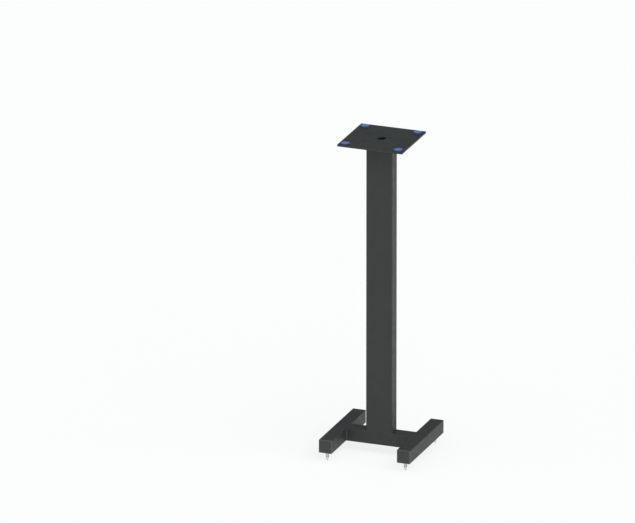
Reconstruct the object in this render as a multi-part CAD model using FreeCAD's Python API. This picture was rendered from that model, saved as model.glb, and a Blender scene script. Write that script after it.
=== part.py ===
"""Speaker stand: a square plate on a rectangular column, over an H-shaped base on four spikes.

Millimetres. +Z is up, X runs along the cross bar and Y along the feet, with the front at -Y.
The origin is on the floor, under the middle of the column.
"""
import FreeCAD, Part
import math
import os

# Overall
overall_height = 609.6      # floor to the top of the plate
base_width = 177.8          # over the outsides of the two feet
foot_length = 177.8         # over the end caps
floor_clearance = 18.0      # floor to the underside of the base bars

# Base bars, square tube
bar_width = 25.4
bar_wall = 1.6
bar_corner = 1.2            # outside corner radius

# Column, rectangular tube
column_width = 50.8
column_wall = 1.6
column_corner = 1.5

# Top plate
plate_width = 127.0
plate_depth = 127.0
plate_thickness = 3.2
plate_corner = 2.0
plate_edge = 0.5            # rounding of the plate's rim
fill_hole_diameter = 17.0

# Pads on the plate
pad_diameter = 20.0
pad_height = 1.6
pad_edge = 0.5              # rounding of the pad's top edge
pad_inset = 12.0            # pad centre from the plate's edges

# End caps of the feet
cap_thickness = 2.0
cap_edge = 0.6
cap_wall = 1.5
cap_depth = 10.0            # how far the cap's spigot goes into the tube
cap_clearance = 0.15

# Spikes
spike_diameter = 6.0
spike_tip_diameter = 1.2
spike_cone_length = 6.0
spike_set_back = 11.5       # spike axis from the end of the foot
spike_chamfer = 0.6
spike_lift = 4.0            # how far a spike can be screwed in from where it stands
spike_headroom = 2.0        # left above the spike when it is screwed right in
spike_hole_clearance = 0.3  # radial, in the bar's wall
thread_clearance = 0.08     # radial, in the nuts

# Nuts on the spikes
nut_across_flats = 10.0
spike_nut_height = 5.0
lock_nut_height = 3.0
nut_chamfer_share = 0.5     # of the height that the corners stand proud of the flats

# Column fastening
foot_plate_thickness = 8.0
foot_plate_clearance = 0.1
bolt_diameter = 8.0
bolt_spacing = 28.0
bolt_engagement = 6.5       # how far the bolt goes into the foot plate
bolt_clearance = 0.5        # radial, in the bar and the washer
bolt_head_diameter = 14.0
bolt_head_height = 4.4
bolt_head_edge = 1.5
bolt_socket_across_flats = 5.0
bolt_socket_depth = 2.6
washer_diameter = 16.0
washer_thickness = 1.6
access_clearance = 0.5      # radial, round the washer

# Welds
plate_weld_leg = 3.0
plate_weld_toe = 0.3        # thickness left where the bead runs out on the column
foot_weld_leg = 2.5
weld_bulge_share = 0.58     # of the leg, where the bead's middle lies; 0.5 would be flat
seam_fill_share = 0.55      # of the corner radius that the bead along the seam fills

edge_limit_share = 0.4      # of a thin plate's thickness, the most that its edges are rounded
height_limit_share = 0.8    # of a pad's or bolt head's height, the most that its edge is rounded
least_corner = 0.2          # the sharpest inside corner of a thick-walled tube
cut_overrun = 1.0           # how far every cutting tool reaches past what it cuts

# Heights and places that follow from the sizes above
bar_bottom = floor_clearance
bar_middle = floor_clearance + bar_width / 2
bar_top = floor_clearance + bar_width
bar_inside = bar_width - 2 * bar_wall
plate_bottom = overall_height - plate_thickness
column_length = plate_bottom - bar_top
column_depth = bar_width    # flush with the cross bar, front and back
foot_x = (base_width - bar_width) / 2
cross_bar_length = base_width - 2 * bar_width
foot_tube_length = foot_length - 2 * cap_thickness
spike_y = foot_length / 2 - spike_set_back
spike_radius = spike_diameter / 2
spike_top = bar_top - bar_wall - cap_clearance - cap_wall - spike_lift - spike_headroom
thread_radius = spike_radius + thread_clearance
pad_x = plate_width / 2 - pad_inset
pad_y = plate_depth / 2 - pad_inset
bolt_radius = bolt_diameter / 2
washer_top = bar_top - bar_wall
washer_bottom = washer_top - washer_thickness
access_radius = washer_diameter / 2 + access_clearance

SIDES = {"left": -1, "right": 1}
ENDS = {"front": -1, "back": 1}
UP = FreeCAD.Vector(0, 0, 1)
ALONG_X = FreeCAD.Vector(1, 0, 0)
CENTRE = FreeCAD.Vector(0, 0, 0)


def at(x, y, z):
    return FreeCAD.Vector(x, y, z)


def rounded_face(width, depth, corner):
    """A flat rectangle in XY about the origin, with round corners."""
    half_x = width / 2
    half_y = depth / 2
    diagonal = corner * (1 - math.sqrt(0.5))
    edges = []
    for turn in range(4):
        along, across = (half_x, half_y) if turn % 2 == 0 else (half_y, half_x)
        line = Part.LineSegment(at(corner - along, -across, 0), at(along - corner, -across, 0))
        arc = Part.Arc(
            at(along - corner, -across, 0),
            at(along - diagonal, diagonal - across, 0),
            at(along, corner - across, 0),
        )
        for curve in (line, arc):
            edge = curve.toShape()
            edge.rotate(CENTRE, UP, 90 * turn)
            edges.append(edge)
    return Part.Face(Part.Wire(edges))


def rounded_prism(width, depth, corner, bottom, height):
    prism = rounded_face(width, depth, corner).extrude(at(0, 0, height))
    prism.translate(at(0, 0, bottom))
    return prism


def rounded_tube(width, depth, corner, wall, bottom, height):
    outside = rounded_prism(width, depth, corner, bottom, height)
    inside = rounded_prism(
        width - 2 * wall, depth - 2 * wall, max(corner - wall, least_corner),
        bottom - cut_overrun, height + 2 * cut_overrun,
    )
    return outside.cut(inside)


def cylinder(radius, bottom, top, x=0, y=0):
    return Part.makeCylinder(radius, top - bottom, at(x, y, bottom))


def hexagon(across_flats, bottom, height):
    radius = across_flats / math.sqrt(3)
    corners = [
        at(radius * math.cos(math.radians(60 * step)), radius * math.sin(math.radians(60 * step)), bottom)
        for step in range(7)
    ]
    return Part.Face(Part.makePolygon(corners)).extrude(at(0, 0, height))


def turned(points):
    """A solid turned about Z from (radius, height) points; a point may be a pair that ends an arc."""
    curves = []
    last = points[0]
    for point in points[1:]:
        start = at(last[0], 0, last[1])
        if isinstance(point[0], tuple):
            middle, end = point
            curves.append(Part.Arc(start, at(middle[0], 0, middle[1]), at(end[0], 0, end[1])))
            last = end
        else:
            curves.append(Part.LineSegment(start, at(point[0], 0, point[1])))
            last = point
    profile = Part.Wire([curve.toShape() for curve in curves])
    return Part.Face(profile).revolve(CENTRE, UP, 360)


def moved(shape, x=0, y=0, z=0):
    copy = shape.copy()
    copy.translate(at(x, y, z))
    return copy


def rounded_top_points(radius, bottom, top, edge):
    """The outline of a disc whose top edge is rounded, from the axis and back to it."""
    reach = edge * math.sqrt(0.5)
    return [
        (0, bottom),
        (radius, bottom),
        (radius, top - edge),
        ((radius - edge + reach, top - edge + reach), (radius - edge, top)),
        (0, top),
        (0, bottom),
    ]


def rim_edges(shape, height):
    """The edges of the outer outline at one height; holes are left sharp."""
    near = Part.Precision.confusion()
    for face in shape.Faces:
        if all(abs(corner.Z - height) < near for corner in face.Vertexes):
            return face.OuterWire.Edges
    raise ValueError("no flat face at that height")


def top_plate():
    plate = rounded_prism(plate_width, plate_depth, plate_corner, plate_bottom, plate_thickness)
    rims = rim_edges(plate, plate_bottom) + rim_edges(plate, overall_height)
    plate = plate.makeFillet(min(plate_edge, plate_thickness * edge_limit_share), rims)
    hole = cylinder(fill_hole_diameter / 2, plate_bottom - cut_overrun, overall_height + cut_overrun)
    return plate.cut(hole)


def pad():
    top = overall_height + pad_height
    edge = min(pad_edge, pad_height * height_limit_share)
    return turned(rounded_top_points(pad_diameter / 2, overall_height, top, edge))


def column_tube():
    return rounded_tube(column_width, column_depth, column_corner, column_wall, bar_top, column_length)


def plate_weld():
    """A bead all round the column, under the plate."""
    toe = 2 * plate_weld_toe
    leg = 2 * plate_weld_leg
    low = rounded_face(column_width + toe, column_depth + toe, column_corner + plate_weld_toe).OuterWire
    high = rounded_face(column_width + leg, column_depth + leg, column_corner + plate_weld_leg).OuterWire
    low.translate(at(0, 0, plate_bottom - plate_weld_leg))
    high.translate(at(0, 0, plate_bottom))
    bead = Part.makeLoft([low, high], True, True)
    column = rounded_prism(
        column_width, column_depth, column_corner,
        plate_bottom - plate_weld_leg - cut_overrun, plate_weld_leg + 2 * cut_overrun,
    )
    return bead.cut(column)


def column_foot_plate():
    """The tapped plate that closes the column's lower end and takes the bolts."""
    smaller = 2 * (column_wall + foot_plate_clearance)
    corner = max(column_corner - column_wall, least_corner)
    plate = rounded_prism(
        column_width - smaller, column_depth - smaller, corner, bar_top, foot_plate_thickness,
    )
    for side in SIDES.values():
        hole = cylinder(
            bolt_radius + thread_clearance, bar_top - cut_overrun,
            bar_top + foot_plate_thickness + cut_overrun, side * bolt_spacing / 2,
        )
        plate = plate.cut(hole)
    return plate


def column_bolt():
    """A button-head bolt, head down, at the origin's axis."""
    head_bottom = washer_bottom - bolt_head_height
    head_radius = bolt_head_diameter / 2
    edge = min(bolt_head_edge, bolt_head_height * height_limit_share)
    reach = edge * (1 - math.sqrt(0.5))
    bolt = turned([
        (0, head_bottom),
        (head_radius - edge, head_bottom),
        ((head_radius - reach, head_bottom + reach), (head_radius, head_bottom + edge)),
        (head_radius, washer_bottom),
        (bolt_radius, washer_bottom),
        (bolt_radius, bar_top + bolt_engagement),
        (0, bar_top + bolt_engagement),
        (0, head_bottom),
    ])
    socket_bottom = head_bottom - cut_overrun
    return bolt.cut(hexagon(bolt_socket_across_flats, socket_bottom, bolt_socket_depth + cut_overrun))


def column_washer():
    ring = cylinder(washer_diameter / 2, washer_bottom, washer_top)
    hole = cylinder(bolt_radius + bolt_clearance, washer_bottom - cut_overrun, washer_top + cut_overrun)
    return ring.cut(hole)


def cross_bar():
    bar = rounded_tube(bar_width, bar_width, bar_corner, bar_wall, -cross_bar_length / 2, cross_bar_length)
    bar.rotate(CENTRE, at(0, 1, 0), 90)
    bar.translate(at(0, 0, bar_middle))
    for side in SIDES.values():
        x = side * bolt_spacing / 2
        access = cylinder(access_radius, bar_bottom - cut_overrun, bar_bottom + bar_wall + cut_overrun, x)
        bolt_hole = cylinder(bolt_radius + bolt_clearance, washer_top - cut_overrun, bar_top + cut_overrun, x)
        bar = bar.cut(access).cut(bolt_hole)
    return bar


def foot():
    """A foot's tube, along Y through the origin's axis, with the holes for its two spikes."""
    bar = rounded_tube(bar_width, bar_width, bar_corner, bar_wall, -foot_tube_length / 2, foot_tube_length)
    bar.rotate(CENTRE, ALONG_X, 90)
    bar.translate(at(0, 0, bar_middle))
    for end in ENDS.values():
        hole = cylinder(
            spike_radius + spike_hole_clearance, bar_bottom - cut_overrun,
            bar_bottom + bar_wall + cut_overrun, 0, end * spike_y,
        )
        bar = bar.cut(hole)
    return bar


def foot_weld():
    """The beads round the cross bar's end on the left foot: front, back, above and below."""
    face_x = foot_x - bar_width / 2
    flat = bar_width - 2 * bar_corner
    bulge = foot_weld_leg * weld_bulge_share
    beads = []
    for end in ENDS.values():
        y = end * bar_width / 2
        corner = at(-face_x, y, bar_middle - flat / 2)
        on_bar = at(foot_weld_leg - face_x, y, corner.z)
        on_foot = at(-face_x, y + end * foot_weld_leg, corner.z)
        outer = Part.Arc(on_bar, at(bulge - face_x, y + end * bulge, corner.z), on_foot)
        outline = Part.Wire([
            Part.LineSegment(corner, on_bar).toShape(),
            outer.toShape(),
            Part.LineSegment(on_foot, corner).toShape(),
        ])
        beads.append(Part.Face(outline).extrude(at(0, 0, flat)))
    fill = bar_corner * seam_fill_share
    for level, inward in ((bar_top, -1), (bar_bottom, 1)):
        corner = at(-face_x, -flat / 2, level)
        outline = Part.makePolygon([
            corner,
            at(-face_x - fill, corner.y, level),
            at(-face_x, corner.y, level + inward * fill),
            corner,
        ])
        beads.append(Part.Face(outline).extrude(at(0, flat, 0)))
    return Part.makeCompound(beads)


def end_cap():
    """The front cap of a foot: a plate over the tube's end and a spigot that is open below, for the nut."""
    outer_y = -foot_length / 2
    inner_y = outer_y + cap_thickness
    face = rounded_prism(bar_width, bar_width, bar_corner, 0, cap_thickness)
    edge = min(cap_edge, cap_thickness * edge_limit_share)
    face = face.makeFillet(edge, rim_edges(face, cap_thickness))
    face.rotate(CENTRE, ALONG_X, 90)
    face.translate(at(0, inner_y, bar_middle))

    outside = bar_inside - 2 * cap_clearance
    inside = outside - 2 * cap_wall
    corner = max(bar_corner - bar_wall, least_corner)
    spigot = rounded_prism(outside, outside, corner, 0, cap_depth)
    spigot.rotate(CENTRE, ALONG_X, -90)
    spigot.translate(at(0, inner_y, bar_middle))
    pocket = Part.makeBox(
        inside, cap_depth + cut_overrun, inside + cap_wall + cut_overrun,
        at(-inside / 2, inner_y, bar_middle - inside / 2 - cap_wall - cut_overrun),
    )
    return face.fuse(spigot.cut(pocket)).removeSplitter()


def nut(height):
    """A hexagon nut from Z zero upwards, with its corners eased at both faces."""
    flat_radius = nut_across_flats / 2
    corner_radius = nut_across_flats / math.sqrt(3)
    ease = (corner_radius - flat_radius) * nut_chamfer_share
    easing = turned([
        (0, 0),
        (flat_radius, 0),
        (corner_radius, ease),
        (corner_radius, height - ease),
        (flat_radius, height),
        (0, height),
        (0, 0),
    ])
    body = hexagon(nut_across_flats, 0, height).common(easing)
    return body.cut(cylinder(thread_radius, -cut_overrun, height + cut_overrun))


def spike():
    return turned([
        (0, 0),
        (spike_tip_diameter / 2, 0),
        (spike_radius, spike_cone_length),
        (spike_radius, spike_top - spike_chamfer),
        (spike_radius - spike_chamfer, spike_top),
        (0, spike_top),
        (0, 0),
    ])


def mirrored_right(shape):
    return shape.mirror(CENTRE, ALONG_X)


def all_pieces():
    pieces = {
        "top_plate": top_plate(),
        "plate_weld": plate_weld(),
        "column_tube": column_tube(),
        "column_foot_plate": column_foot_plate(),
        "cross_bar": cross_bar(),
        "left_foot_weld": foot_weld(),
        "right_foot_weld": mirrored_right(foot_weld()),
    }
    front_cap = end_cap()
    back_cap = front_cap.copy()
    back_cap.rotate(CENTRE, UP, 180)
    caps = {"front": front_cap, "back": back_cap}
    for side_name, side in SIDES.items():
        x = side * foot_x
        bolt_x = side * bolt_spacing / 2
        pieces[side_name + "_foot"] = moved(foot(), x)
        pieces[side_name + "_column_bolt"] = moved(column_bolt(), bolt_x)
        pieces[side_name + "_column_washer"] = moved(column_washer(), bolt_x)
        for end_name, end in ENDS.items():
            place = end_name + "_" + side_name
            y = end * spike_y
            pieces[place + "_pad"] = moved(pad(), side * pad_x, end * pad_y)
            pieces[place + "_end_cap"] = moved(caps[end_name], x)
            pieces[place + "_spike_nut"] = moved(nut(spike_nut_height), x, y, bar_bottom + bar_wall)
            pieces[place + "_lock_nut"] = moved(nut(lock_nut_height), x, y, bar_bottom - lock_nut_height)
            pieces[place + "_spike"] = moved(spike(), x, y)
    return pieces


os.makedirs("parts", exist_ok=True)
for name, shape in all_pieces().items():
    for solid in shape.Solids:
        if not solid.isValid():
            raise ValueError(name + " is not a valid solid")
    shape.exportStep(os.path.join("parts", name + ".step"))
    print(name, len(shape.Solids), round(shape.Volume, 1))
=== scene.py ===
import math

import bmesh
import bpy
from mathutils import Matrix, Vector


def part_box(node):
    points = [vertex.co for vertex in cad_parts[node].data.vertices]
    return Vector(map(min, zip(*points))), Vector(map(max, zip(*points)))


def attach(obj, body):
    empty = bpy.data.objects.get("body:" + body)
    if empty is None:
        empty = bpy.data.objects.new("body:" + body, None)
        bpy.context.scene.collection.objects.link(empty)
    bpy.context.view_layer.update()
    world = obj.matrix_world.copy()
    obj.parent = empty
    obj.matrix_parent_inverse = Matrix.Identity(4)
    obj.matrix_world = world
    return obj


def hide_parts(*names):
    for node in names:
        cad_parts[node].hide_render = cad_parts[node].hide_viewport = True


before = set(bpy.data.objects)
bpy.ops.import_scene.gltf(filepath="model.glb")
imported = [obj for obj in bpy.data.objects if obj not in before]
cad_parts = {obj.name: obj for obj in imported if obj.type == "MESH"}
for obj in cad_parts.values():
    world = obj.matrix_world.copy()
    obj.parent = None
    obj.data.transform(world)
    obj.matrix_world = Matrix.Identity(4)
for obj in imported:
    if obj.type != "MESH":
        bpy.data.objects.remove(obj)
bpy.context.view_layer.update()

mm = 0.001
full_turn = 2 * math.pi
quarter_turn = math.pi / 2
y_axis = 1
z_axis = 2
unit = 1
whole = (0, 1)

# Camera: where the photograph shows a point on the column's middle line, and its scale there
photo_width = 635
photo_height = 523
photo_point = Vector((381.45, 292.37))
column_point = Vector((0, 0, 310.8 * mm))
pixel_size = 1.8267 * mm
view_turn = math.radians(20.69)
view_rise = math.radians(19.75)
camera_lens = 1100          # millimetres, as is the sensor's width
camera_sensor = 36
camera_reach = 200

# Studio
floor_radius = 12
floor_steps = 96
floor_colour = (0.98, 0.98, 0.98, 1)
floor_white_share = 0.80
horizon_colour = (1.0, 1.0, 1.0, 1)
upper_colour = (0.15, 0.175, 0.185, 1)
sky_span = (0.04, 0.30)
lamp_spread = math.radians(75)
key_from = Vector((0.85, -0.45, 0.75))
key_strength = 2.6
key_colour = (0.95, 1.0, 1.0)
fill_from = Vector((-0.6, -0.8, 0.9))
fill_strength = 0.95
fill_colour = (1.0, 0.985, 0.94)

# Finishes: each pattern below is the size of its features and the number of its finer layers
noise_span = (0.3, 0.7)     # where nearly all of a noise's values lie
edge_span = (1.0, 0.8)      # how well true and eased normals match, on a flat and on an edge
edge_samples = 6

# Satin black powder coat
coat_clouds = (34 * mm, 3)
coat_dark = (0.0205, 0.0222, 0.0215, 1)
coat_light = (0.0270, 0.0290, 0.0282, 1)
coat_speckle = (0.9 * mm, 2)
coat_speckle_span = (0.55, 0.8)
coat_speckle_shares = (0, 0.5)
coat_speckle_colour = (0.040, 0.042, 0.041, 1)
coat_rub_width = 1.4 * mm
coat_rub_colour = (0.056, 0.059, 0.058, 1)
coat_gloss = (11 * mm, 4)
coat_roughness = (0.48, 0.60)
coat_refraction = 1.42
coat_peel = (1.1 * mm, 1)
coat_peel_depth = 0.07 * mm
coat_tooth = (0.3 * mm, 2)
coat_tooth_depth = 0.025 * mm

# Black moulded plastic of the end caps
plastic_clouds = (7 * mm, 3)
plastic_dark = (0.0195, 0.0225, 0.0208, 1)
plastic_light = (0.0262, 0.0295, 0.0277, 1)
# Painted highlight: the caps' edges are painted a lighter grey within this width
plastic_edge_highlight_width = 2.2 * mm
plastic_edge_highlight_colour = (0.155, 0.163, 0.158, 1)
plastic_gloss = (3 * mm, 3)
plastic_roughness = (0.46, 0.6)
plastic_grain = (0.42 * mm, 2)
plastic_grain_depth = 0.05 * mm

# Blue rubber of the pads
rubber_clouds = (5 * mm, 3)
rubber_dark = (0.005, 0.021, 0.098, 1)
rubber_light = (0.010, 0.034, 0.145, 1)
# Painted highlight: the pads' upward-facing tops are painted a paler, cloudy blue over the navy
rubber_highlight_clouds = (1.3 * mm, 4)
rubber_highlight_dark = (0.076, 0.125, 0.320, 1)
rubber_highlight_light = (0.152, 0.216, 0.450, 1)
rubber_highlight_span = (0.985, 0.9995)
rubber_roughness = (0.30, 0.42)
rubber_skin = (0.6 * mm, 2)
rubber_skin_depth = 0.02 * mm

# Turned steel of the spikes
steel_clouds = (4 * mm, 3)
steel_dark = (0.58, 0.585, 0.59, 1)
steel_light = (0.68, 0.685, 0.69, 1)
steel_rings = (0.16 * mm, 2)
steel_ring_stretch = (40, 40, 1)
steel_ring_depth = 0.004 * mm
steel_roughness = (0.14, 0.26)

# Zinc plate of the nuts, bolts, washers and foot plate
zinc_clouds = (3.2 * mm, 4)
zinc_dark = (0.46, 0.475, 0.50, 1)
zinc_light = (0.62, 0.625, 0.63, 1)
zinc_spots = (0.7 * mm, 3)
zinc_spot_span = (0.6, 0.8)
zinc_spot_shares = (0, 0.6)
zinc_spot_colour = (0.36, 0.35, 0.33, 1)
zinc_roughness = (0.3, 0.46)
zinc_pits = (0.5 * mm, 3)
zinc_pit_depth = 0.02 * mm

# Meshes
turn_steps = 64
smooth_angle = math.radians(32)
merge_distance = 0.002 * mm
plane_slack = 0.01 * mm

# Tubes
tube_wall = 1.6 * mm
bar_corner = 1.2 * mm
column_corner = 1.5 * mm

# Top plate
plate_corner = 2.0 * mm
plate_corner_steps = 6
plate_edge = 0.5 * mm
plate_edge_steps = 3
hole_radius = 8.5 * mm
hole_ease = 0.4 * mm
hole_steps = 72

# Pads
pad_wall = 0.4 * mm
pad_foot_ease = 0.2 * mm
pad_shoulder = 7.0 * mm
pad_shoulder_steps = 14
pad_crown = 0.08 * mm

# End caps
cap_thickness = 2.0 * mm
cap_corner_steps = 5
cap_front_round = 0.6 * mm
cap_seam_round = 0.25 * mm
cap_round_steps = 3
cap_wall = 1.5 * mm
cap_clearance = 0.15 * mm

# Spikes, with an M6 thread of 1 mm pitch
tip_radius = 0.6 * mm
tip_round = 0.25 * mm
cone_height = 6.0 * mm
shoulder_radius = 2.95 * mm
shoulder_height = 2.4 * mm
thread_pitch = 1.0 * mm
thread_crest = 3.0 * mm
thread_root = 2.42 * mm
thread_sink = 0.12 * mm
thread_root_share = 0.43
thread_crest_share = 0.07
thread_turn_steps = 28
spike_top_chamfer = 0.6 * mm

# Weld beads
plate_bead_leg = 3.0 * mm
foot_bead_leg = 2.5 * mm
bead_sink = 0.4 * mm
bead_bulge_share = 0.14
bead_arc_steps = 6
bead_step = 0.45 * mm
ring_slack = 0.1 * mm
ripple_pitch = 2.6 * mm
ripple_share = 0.13
seam_fill_share = 0.55
seam_fill = seam_fill_share * bar_corner

ends = ("front", "back")
sides = ("left", "right")
places = [f"{end}_{side}" for end in ends for side in sides]


def feed(tree, socket, value):
    """Gives a socket a plain value, or links another node's output to it."""
    if isinstance(value, bpy.types.NodeSocket):
        tree.links.new(value, socket)
    else:
        socket.default_value = value


def add_node(tree, kind, inputs=None, **settings):
    """A shader node with its settings made and its inputs fed, by name or by number."""
    node = tree.nodes.new(f"ShaderNode{kind}")
    for name, value in settings.items():
        setattr(node, name, value)
    for key, value in (inputs or {}).items():
        feed(tree, node.inputs[key], value)
    return node


def bare_tree(owner):
    """The node tree of a material or a world, emptied."""
    owner.use_nodes = True
    owner.node_tree.nodes.clear()
    return owner.node_tree


def start_finish(name, slot):
    """A new material for a slot: its tree, its shader and the Object coordinates of its patterns."""
    finish = bpy.data.materials.new(name)
    finish["slot"] = slot
    tree = bare_tree(finish)
    shader = add_node(tree, "BsdfPrincipled")
    add_node(tree, "OutputMaterial", {"Surface": shader.outputs["BSDF"]})
    place = add_node(tree, "TexCoord").outputs["Object"]
    return finish, tree, shader, place


def cloud(tree, place, pattern, stretch=(1, 1, 1)):
    """A noise after a pattern, drawn out by stretch."""
    size, detail = pattern
    scale = [1 / (size * length) for length in stretch]
    mapping = add_node(tree, "Mapping", {"Vector": place, "Scale": scale})
    noise = add_node(
        tree, "TexNoise", {"Vector": mapping.outputs["Vector"], "Scale": unit, "Detail": detail}
    )
    return noise.outputs["Fac"]


def spread(tree, value, span, result):
    """Carries a value that runs over span to one that runs over result."""
    node = add_node(tree, "MapRange", {
        "Value": value,
        "From Min": span[0],
        "From Max": span[1],
        "To Min": result[0],
        "To Max": result[1],
    })
    return node.outputs["Result"]


def blend_colours(tree, share, first, second):
    """The first colour where share is 0 and the second where it is 1; either may be a socket."""
    node = add_node(tree, "Mix", {"Factor": share}, data_type="RGBA")
    colours = [socket for socket in node.inputs if socket.type == "RGBA"]
    for socket, colour in zip(colours, (first, second)):
        feed(tree, socket, colour)
    return next(socket for socket in node.outputs if socket.type == "RGBA")


def blend_shaders(tree, share, first, second):
    """The first shader where share is 0 and the second where it is 1."""
    return add_node(tree, "MixShader", {"Fac": share, 1: first, 2: second}).outputs["Shader"]


def edge_share(tree, width):
    """A share that is 0 on flats and rises along edges, within about width of them."""
    rounded = add_node(tree, "Bevel", {"Radius": width}, samples=edge_samples)
    geometry = add_node(tree, "NewGeometry")
    match = add_node(
        tree, "VectorMath", {0: rounded.outputs["Normal"], 1: geometry.outputs["Normal"]},
        operation="DOT_PRODUCT",
    )
    return spread(tree, match.outputs["Value"], edge_span, whole)


def upward_share(tree, span):
    """A share that rises from 0 to 1 as a surface turns to face up, over a span of its normal's Z."""
    geometry = add_node(tree, "NewGeometry")
    parts = add_node(tree, "SeparateXYZ", {"Vector": geometry.outputs["Normal"]})
    return spread(tree, parts.outputs["Z"], span, whole)


def dress(tree, shader, colour, gloss, roughness, relief):
    """Gives a shader its colour, a roughness that follows gloss, and bumps of (height, depth)."""
    feed(tree, shader.inputs["Base Color"], colour)
    feed(tree, shader.inputs["Roughness"], spread(tree, gloss, noise_span, roughness))
    normal = None
    for height, depth in relief:
        bump = add_node(tree, "Bump", {"Height": height, "Distance": depth})
        if normal:
            feed(tree, bump.inputs["Normal"], normal)
        normal = bump.outputs["Normal"]
    feed(tree, shader.inputs["Normal"], normal)


def satin_coat(name, rubbed):
    """Satin black powder coat with orange peel, a fine tooth and, where rubbed, lighter edges."""
    finish, tree, shader, place = start_finish(name, "satin_black_coat")
    colour = blend_colours(tree, cloud(tree, place, coat_clouds), coat_dark, coat_light)
    speckle = spread(tree, cloud(tree, place, coat_speckle), coat_speckle_span, coat_speckle_shares)
    colour = blend_colours(tree, speckle, colour, coat_speckle_colour)
    if rubbed:
        colour = blend_colours(tree, edge_share(tree, coat_rub_width), colour, coat_rub_colour)
    shader.inputs["IOR"].default_value = coat_refraction
    peel = cloud(tree, place, coat_peel)
    tooth = cloud(tree, place, coat_tooth)
    relief = [(peel, coat_peel_depth), (tooth, coat_tooth_depth)]
    dress(tree, shader, colour, cloud(tree, place, coat_gloss), coat_roughness, relief)
    return finish


def cap_plastic():
    """Black moulded plastic with a fine spark-eroded grain, and a painted highlight along its edges."""
    finish, tree, shader, place = start_finish("cap_plastic", "black_plastic")
    colour = blend_colours(tree, cloud(tree, place, plastic_clouds), plastic_dark, plastic_light)
    # painted highlight: the caps' edges are painted lighter grey along every rounded edge
    colour = blend_colours(tree, edge_share(tree, plastic_edge_highlight_width), colour, plastic_edge_highlight_colour)
    relief = [(cloud(tree, place, plastic_grain), plastic_grain_depth)]
    dress(tree, shader, colour, cloud(tree, place, plastic_gloss), plastic_roughness, relief)
    return finish


def pad_rubber():
    """Navy rubber, whose upward-facing top is painted a paler, cloudy blue as a painted highlight."""
    finish, tree, shader, place = start_finish("pad_rubber", "blue_rubber")
    clouds = cloud(tree, place, rubber_clouds)
    navy = blend_colours(tree, clouds, rubber_dark, rubber_light)
    # painted highlight: a paler blue laid on the faces that turn up
    painted_highlight = blend_colours(tree, cloud(tree, place, rubber_highlight_clouds), rubber_highlight_dark, rubber_highlight_light)
    colour = blend_colours(tree, upward_share(tree, rubber_highlight_span), navy, painted_highlight)
    relief = [(cloud(tree, place, rubber_skin), rubber_skin_depth)]
    dress(tree, shader, colour, clouds, rubber_roughness, relief)
    return finish


def turned_steel():
    """Bright turned steel, with the fine rings that the lathe leaves."""
    finish, tree, shader, place = start_finish("turned_steel", "bright_steel")
    colour = blend_colours(tree, cloud(tree, place, steel_clouds), steel_dark, steel_light)
    shader.inputs["Metallic"].default_value = unit
    rings = cloud(tree, place, steel_rings, steel_ring_stretch)
    dress(tree, shader, colour, rings, steel_roughness, [(rings, steel_ring_depth)])
    return finish


def zinc_plate():
    """Dull zinc plate, clouded and faintly bluish, with spots where the plating is thin."""
    finish, tree, shader, place = start_finish("zinc_plate", "zinc_plated_steel")
    clouds = cloud(tree, place, zinc_clouds)
    colour = blend_colours(tree, clouds, zinc_dark, zinc_light)
    spots = spread(tree, cloud(tree, place, zinc_spots), zinc_spot_span, zinc_spot_shares)
    colour = blend_colours(tree, spots, colour, zinc_spot_colour)
    shader.inputs["Metallic"].default_value = unit
    relief = [(cloud(tree, place, zinc_pits), zinc_pit_depth)]
    dress(tree, shader, colour, clouds, zinc_roughness, relief)
    return finish


def floor_finish():
    """A matt floor that looks white and keeps a soft shadow, and is open to a view from below."""
    finish = bpy.data.materials.new("floor_finish")
    tree = bare_tree(finish)
    matt = add_node(tree, "BsdfDiffuse", {"Color": floor_colour}).outputs["BSDF"]
    white = add_node(tree, "Emission").outputs["Emission"]
    clear = add_node(tree, "BsdfTransparent").outputs["BSDF"]
    underside = add_node(tree, "NewGeometry").outputs["Backfacing"]
    rays = add_node(tree, "LightPath").outputs
    seen = rays["Is Camera Ray"]
    for kind in ("Is Glossy Ray", "Is Transmission Ray"):
        seen = add_node(tree, "Math", {0: seen, 1: rays[kind]}, operation="MAXIMUM").outputs["Value"]
    share = spread(tree, seen, whole, (0, floor_white_share))
    lit = blend_shaders(tree, share, matt, white)
    shown = blend_shaders(tree, underside, lit, clear)
    add_node(tree, "OutputMaterial", {"Surface": shown})
    return finish


def add_object(name, data):
    """Puts a mesh, a lamp or a camera in the scene."""
    made = bpy.data.objects.new(name, data)
    bpy.context.scene.collection.objects.link(made)
    return made


def as_mesh(name, shape, finish):
    """Makes a bmesh a mesh with one finish."""
    mesh = bpy.data.meshes.new(name)
    shape.to_mesh(mesh)
    shape.free()
    mesh.materials.append(finish)
    return mesh


def add_piece(name, shape, finish, body, node):
    """Makes a bmesh a piece that rides on a body and stands for a CAD node."""
    bmesh.ops.remove_doubles(shape, verts=shape.verts[:], dist=merge_distance)
    bmesh.ops.recalc_face_normals(shape, faces=shape.faces[:])
    mesh = as_mesh(name, shape, finish)
    mesh.shade_smooth()
    mesh.set_sharp_from_angle(angle=smooth_angle)
    piece = add_object(name, mesh)
    piece.modifiers.new("even_flats", "WEIGHTED_NORMAL").keep_sharp = True
    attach(piece, body)
    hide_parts(node)
    return piece


def refinish(node, finish):
    """Gives a CAD node that stays its finish."""
    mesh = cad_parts[node].data
    mesh.materials.clear()
    mesh.materials.append(finish)


def bevel(shape, edges, width, steps):
    """Rounds edges."""
    bmesh.ops.bevel(
        shape, geom=edges, offset=width, segments=steps, profile=0.5, affect="EDGES", material=-1
    )


def in_plane(shape, axis, value):
    """The edges that lie in one plane across an axis."""
    return [
        edge for edge in shape.edges
        if all(abs(vertex.co[axis] - value) < plane_slack for vertex in edge.verts)
    ]


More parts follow.
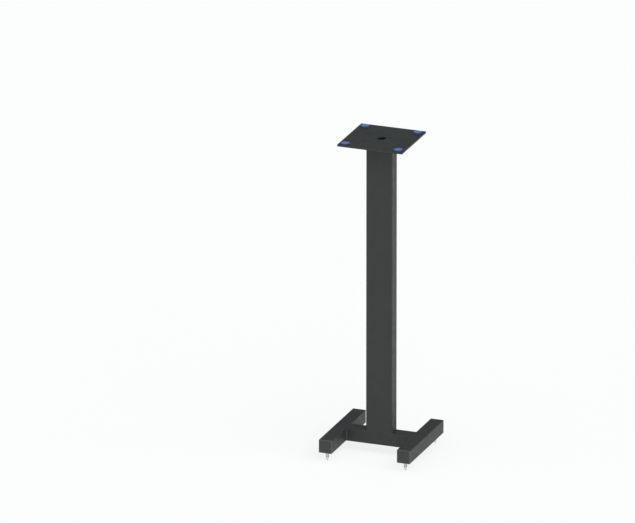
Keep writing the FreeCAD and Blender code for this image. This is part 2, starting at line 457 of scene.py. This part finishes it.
def folded(edges):
    """Those edges where two faces meet at an angle."""
    return [
        edge for edge in edges
        if len(edge.link_faces) == 2 and edge.calc_face_angle() > smooth_angle
    ]


def middle(low, high):
    """The point in the middle of a box."""
    return (low + high) / 2


def block(shape, low, high):
    """A box between two corners."""
    made = bmesh.ops.create_cube(shape, size=unit)["verts"]
    bmesh.ops.scale(shape, vec=high - low, verts=made)
    bmesh.ops.translate(shape, vec=middle(low, high), verts=made)


def face_through(shape, points):
    """A face whose corners are the points, in turn."""
    return shape.faces.new([shape.verts.new(point) for point in points])


def extrude(shape, faces, travel):
    """Grows faces into a solid along travel."""
    grown = bmesh.ops.extrude_face_region(shape, geom=faces)["geom"]
    moved = [part for part in grown if isinstance(part, bmesh.types.BMVert)]
    bmesh.ops.translate(shape, vec=travel, verts=moved)


def turned(shape, outline, centre):
    """Spins an outline of (radius, height) points, which starts and ends on the axis, into a solid."""
    points = [shape.verts.new((centre.x + radius, centre.y, height)) for radius, height in outline]
    chain = [shape.edges.new(pair) for pair in zip(points, points[1:])]
    bmesh.ops.spin(
        shape, geom=points + chain, cent=(centre.x, centre.y, 0), axis=(0, 0, 1),
        angle=full_turn, steps=turn_steps, use_merge=True,
    )
    bmesh.ops.remove_doubles(shape, verts=shape.verts[:], dist=merge_distance)


def top_plate_piece(finish):
    """The plate, with rounded corners, an eased rim and an eased hole."""
    low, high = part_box("top_plate")
    shape = bmesh.new()
    bmesh.ops.create_grid(shape, x_segments=1, y_segments=1, size=unit / 2)
    bmesh.ops.scale(shape, vec=(high.x - low.x, high.y - low.y, unit), verts=shape.verts[:])
    bmesh.ops.bevel(
        shape, geom=shape.verts[:], offset=plate_corner, segments=plate_corner_steps, profile=0.5,
        affect="VERTICES", material=-1,
    )
    bmesh.ops.delete(shape, geom=shape.faces[:], context="FACES_ONLY")
    bmesh.ops.create_circle(shape, segments=hole_steps, radius=hole_radius)
    bmesh.ops.bridge_loops(shape, edges=shape.edges[:])
    bmesh.ops.translate(shape, vec=(0, 0, low.z), verts=shape.verts[:])
    extrude(shape, shape.faces[:], (0, 0, high.z - low.z))
    bmesh.ops.recalc_face_normals(shape, faces=shape.faces[:])
    for level in (low.z, high.z):
        for outside, width in ((True, plate_edge), (False, hole_ease)):
            rim = folded(in_plane(shape, z_axis, level))
            chosen = [edge for edge in rim if (edge.verts[0].co.xy.length > 2 * hole_radius) == outside]
            bevel(shape, chosen, width, plate_edge_steps)
    add_piece("top_plate_eased", shape, finish, "stand", "top_plate")


def pad_piece(place, finish):
    """A thin round pad: an eased foot, a low wall, and a soft shoulder up to a slightly crowned top."""
    node = f"{place}_pad"
    low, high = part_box(node)
    radius = (high.x - low.x) / 2
    wall_top = low.z + pad_wall
    rise = high.z - pad_crown - wall_top
    outline = [(0, low.z), (radius - pad_foot_ease, low.z), (radius, low.z + pad_foot_ease)]
    for step in range(pad_shoulder_steps + 1):
        angle = quarter_turn * step / pad_shoulder_steps
        reach = radius - pad_shoulder * (1 - math.cos(angle))
        outline.append((reach, wall_top + rise * math.sin(angle)))
    outline.append((0, high.z))
    shape = bmesh.new()
    turned(shape, outline, middle(low, high))
    piece = add_piece(f"{node}_moulded", shape, finish, "stand", node)


def end_cap_piece(place, finish):
    """A moulded cap: a rounded face, an eased edge at the seam, and the walls that grip the tube."""
    node = f"{place}_end_cap"
    low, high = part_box(node)
    centre = middle(low, high)
    outward = -1 if centre.y < 0 else 1
    face_y, grip_y = (low.y, high.y) if outward < 0 else (high.y, low.y)
    seam_y = face_y - outward * cap_thickness
    near, far = sorted((face_y, seam_y))
    shape = bmesh.new()
    block(shape, Vector((low.x, near, low.z)), Vector((high.x, far, high.z)))
    lengthwise = [
        edge for edge in shape.edges
        if abs(edge.verts[0].co.y - edge.verts[1].co.y) > plane_slack
    ]
    bevel(shape, lengthwise, bar_corner, cap_corner_steps)
    bevel(shape, folded(in_plane(shape, y_axis, seam_y)), cap_seam_round, cap_round_steps)
    bevel(shape, folded(in_plane(shape, y_axis, face_y)), cap_front_round, cap_round_steps)
    inset = tube_wall + cap_clearance
    bottom = low.z + inset
    outer = (high.x - low.x) / 2 - inset
    outer_top = high.z - inset
    inner = outer - cap_wall
    inner_top = outer_top - cap_wall
    arch = [
        (-outer, bottom), (-outer, outer_top), (outer, outer_top), (outer, bottom),
        (inner, bottom), (inner, inner_top), (-inner, inner_top), (-inner, bottom),
    ]
    start_y = seam_y + outward * cap_seam_round
    section = face_through(shape, [(centre.x + x, start_y, z) for x, z in arch])
    extrude(shape, [section], (0, grip_y - start_y, 0))
    add_piece(f"{node}_moulded", shape, finish, "stand", node)


def thread(shape, centre, bottom, top):
    """A screw thread's ridge, wound up from bottom to top about the spike's axis."""
    half_root = thread_pitch * thread_root_share
    half_crest = thread_pitch * thread_crest_share
    root = thread_root - thread_sink
    start = bottom + half_root
    section = [
        (root, -half_root), (thread_crest, -half_crest), (thread_crest, half_crest), (root, half_root)
    ]
    face = face_through(shape, [(centre.x + radius, centre.y, start + rise) for radius, rise in section])
    turns = (top - bottom) / thread_pitch - 2 * thread_root_share
    steps = round(turns * thread_turn_steps)
    bmesh.ops.spin(
        shape, geom=[*face.verts, *face.edges, face], cent=(centre.x, centre.y, 0), axis=(0, 0, 1),
        dvec=(0, 0, thread_pitch / thread_turn_steps),
        angle=full_turn * steps / thread_turn_steps, steps=steps,
    )


def spike_piece(place, finish):
    """A spike: a turned cone with a shoulder, and a threaded shank above it."""
    node = f"{place}_spike"
    low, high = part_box(node)
    centre = middle(low, high)
    cone_top = low.z + cone_height
    shank_bottom = cone_top + shoulder_height
    shank_top = high.z - spike_top_chamfer
    outline = [
        (0, low.z),
        (tip_radius - tip_round, low.z),
        (tip_radius, low.z + tip_round),
        (shoulder_radius, cone_top),
        (shoulder_radius, shank_bottom),
        (thread_root, shank_bottom + shoulder_radius - thread_root),
        (thread_root, shank_top),
        (thread_root - spike_top_chamfer, high.z),
        (0, high.z),
    ]
    shape = bmesh.new()
    turned(shape, outline, centre)
    thread(shape, centre, shank_bottom, shank_top)
    add_piece(f"{node}_threaded", shape, finish, node, node)


def bead(shape, frames, leg):
    """Sweeps a weld's section along frames, which carry the seam's corner, its two sides and its run.

    Returns the faces at the two ends."""
    corners = [Vector((-bead_sink, -bead_sink, 0)), Vector((leg, -bead_sink, 0))]
    for step in range(bead_arc_steps + 1):
        share = step / bead_arc_steps
        bulge = 1 + bead_bulge_share * math.sin(math.pi * share)
        corners.append(Vector((leg * (1 - share) * bulge, leg * share * bulge, 0)))
    corners.append(Vector((-bead_sink, leg, 0)))
    first = face_through(shape, [frames[0] @ corner for corner in corners])
    last = first
    for before, after in zip(frames, frames[1:]):
        grown = bmesh.ops.extrude_face_region(shape, geom=[last])["geom"]
        if last is not first:
            bmesh.ops.delete(shape, geom=[last], context="FACES_ONLY")
        last = next(part for part in grown if isinstance(part, bmesh.types.BMFace))
        bmesh.ops.transform(shape, matrix=after @ before.inverted(), verts=last.verts[:])
    return first, last


def axes(first, second, run):
    """The turn that lays a weld's section between its two sides and across its run."""
    return Matrix((first, second, run)).transposed().to_4x4()


def step_count(length):
    """How many steps a bead takes over a length."""
    return max(round(length / bead_step), 1)


def rippled(here, run, pitch):
    """A frame whose section is drawn in between the ripples of a weld."""
    ripple = 1 - ripple_share * math.sin(math.pi * run / pitch) ** 2
    return here @ Matrix.Diagonal((ripple, ripple, 1, 1))


def straight_frames(start, along, first, second, length):
    """Frames along a straight seam, whose bead fills the corner between the sides first and second."""
    count = step_count(length)
    turn = axes(first, second, along)
    frames = []
    for step in range(count + 1):
        run = length * step / count
        frames.append(rippled(Matrix.Translation(start + along * run) @ turn, run, ripple_pitch))
    return frames


def ring_frames(half_x, half_y, corner, height):
    """Frames once round a rounded rectangle, under the plate, from the middle of its front side."""
    flat_x = half_x - corner
    flat_y = 2 * (half_y - corner)
    flats = [flat_x, flat_y, 2 * flat_x, flat_y, flat_x]
    bend_run = quarter_turn * corner
    bend_steps = step_count(bend_run)
    to_centre = Matrix.Translation((-corner, 0, 0))
    bend = to_centre @ Matrix.Rotation(-quarter_turn / bend_steps, 4, "Y") @ to_centre.inverted()
    moves = []
    for flat in flats:
        if moves:
            moves += [(bend, bend_run / bend_steps)] * bend_steps
        count = step_count(flat)
        moves += [(Matrix.Translation((0, 0, flat / count)), flat / count)] * count
    total = sum(length for move, length in moves)
    pitch = total / round(total / ripple_pitch)
    here = Matrix.Translation((0, -half_y, height)) @ axes((0, -1, 0), (0, 0, -1), (1, 0, 0))
    run = 0
    frames = [rippled(here, run, pitch)]
    for move, length in moves:
        here = here @ move
        run += length
        frames.append(rippled(here, run, pitch))
    return frames


def plate_weld_piece(finish):
    """The weld all round the column, under the plate."""
    low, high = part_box("column_tube")
    plate_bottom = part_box("plate_weld")[1].z
    frames = ring_frames((high.x - low.x) / 2, (high.y - low.y) / 2, column_corner, plate_bottom)
    shape = bmesh.new()
    end_faces = bead(shape, frames, plate_bead_leg)
    rims = [vertex for face in end_faces for vertex in face.verts]
    bmesh.ops.delete(shape, geom=end_faces, context="FACES_ONLY")
    bmesh.ops.remove_doubles(shape, verts=rims, dist=ring_slack)
    add_piece("plate_weld_bead", shape, finish, "stand", "plate_weld")


def foot_weld_piece(side, finish):
    """One foot's welds: an upright bead in front and behind, and flush fills above and below."""
    low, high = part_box("cross_bar")
    outward = -1 if side == "left" else 1
    joint_x = low.x if outward < 0 else high.x
    near = low.y + bar_corner
    far = high.y - bar_corner
    bottom = low.z + bar_corner
    top = high.z - bar_corner
    shape = bmesh.new()
    for end in (-1, 1):
        start = Vector((joint_x, end * high.y, bottom))
        frames = straight_frames(
            start, Vector((0, 0, 1)), Vector((-outward, 0, 0)), Vector((0, end, 0)), top - bottom
        )
        bead(shape, frames, foot_bead_leg)
    for level, inward in ((high.z, -1), (low.z, 1)):
        section = face_through(shape, [
            (joint_x, near, level),
            (joint_x + outward * seam_fill, near, level),
            (joint_x, near, level + inward * seam_fill),
        ])
        extrude(shape, [section], (0, far - near, 0))
    add_piece(f"{side}_foot_weld_bead", shape, finish, "stand", f"{side}_foot_weld")


def look_along(thing, direction):
    """Turns a camera or a lamp to look in a direction."""
    thing.rotation_mode = "QUATERNION"
    thing.rotation_quaternion = direction.to_track_quat("-Z", "Y")


def add_camera():
    """The camera at the photograph's angle, so far off that its view is nearly parallel."""
    back = Vector((
        math.sin(view_turn) * math.cos(view_rise),
        -math.cos(view_turn) * math.cos(view_rise),
        math.sin(view_rise),
    ))
    right = Vector((math.cos(view_turn), math.sin(view_turn), 0))
    up = back.cross(right)
    off_centre = (photo_point - Vector((photo_width, photo_height)) / 2) * pixel_size
    aim = column_point - right * off_centre.x + up * off_centre.y
    data = bpy.data.cameras.new("camera")
    data.sensor_width = camera_sensor
    data.lens = camera_lens
    data.clip_end = camera_reach
    camera = add_object("camera", data)
    camera.location = aim + back * (photo_width * pixel_size * camera_lens / camera_sensor)
    look_along(camera, -back)
    bpy.context.scene.camera = camera


def add_lamp(name, direction, strength, colour):
    """A wide, soft lamp far off in one direction, so that the floor is lit evenly."""
    data = bpy.data.lights.new(name, "SUN")
    data.angle = lamp_spread
    data.energy = strength
    data.color = colour
    lamp = add_object(name, data)
    lamp.location = direction
    look_along(lamp, -direction)


def add_world():
    """Surroundings that are white at the horizon and darker above."""
    world = bpy.data.worlds.new("studio")
    tree = bare_tree(world)
    direction = add_node(tree, "TexCoord").outputs["Generated"]
    height = add_node(tree, "SeparateXYZ", {"Vector": direction}).outputs["Z"]
    colour = blend_colours(tree, spread(tree, height, sky_span, whole), horizon_colour, upper_colour)
    sky = add_node(tree, "Background", {"Color": colour}).outputs["Background"]
    add_node(tree, "OutputWorld", {"Surface": sky})
    bpy.context.scene.world = world


def add_floor():
    """The white floor that the spikes stand on."""
    shape = bmesh.new()
    bmesh.ops.create_circle(shape, cap_ends=True, segments=floor_steps, radius=floor_radius)
    floor = add_object("floor", as_mesh("floor", shape, floor_finish()))


coat = satin_coat("bar_coat", rubbed=True)
even_coat = satin_coat("even_coat", rubbed=False)
plastic = cap_plastic()
rubber = pad_rubber()
steel = turned_steel()
zinc = zinc_plate()

refinish("column_tube", coat)
refinish("cross_bar", coat)
refinish("column_foot_plate", zinc)
for side in sides:
    refinish(f"{side}_foot", coat)
    refinish(f"{side}_column_bolt", zinc)
    refinish(f"{side}_column_washer", zinc)
    foot_weld_piece(side, even_coat)
top_plate_piece(even_coat)
plate_weld_piece(even_coat)
for place in places:
    refinish(f"{place}_lock_nut", zinc)
    refinish(f"{place}_spike_nut", zinc)
    pad_piece(place, rubber)
    end_cap_piece(place, plastic)
    spike_piece(place, steel)

add_camera()
add_world()
add_lamp("key", key_from, key_strength, key_colour)
add_lamp("fill", fill_from, fill_strength, fill_colour)
add_floor()
bpy.context.scene.view_settings.view_transform = "Standard"
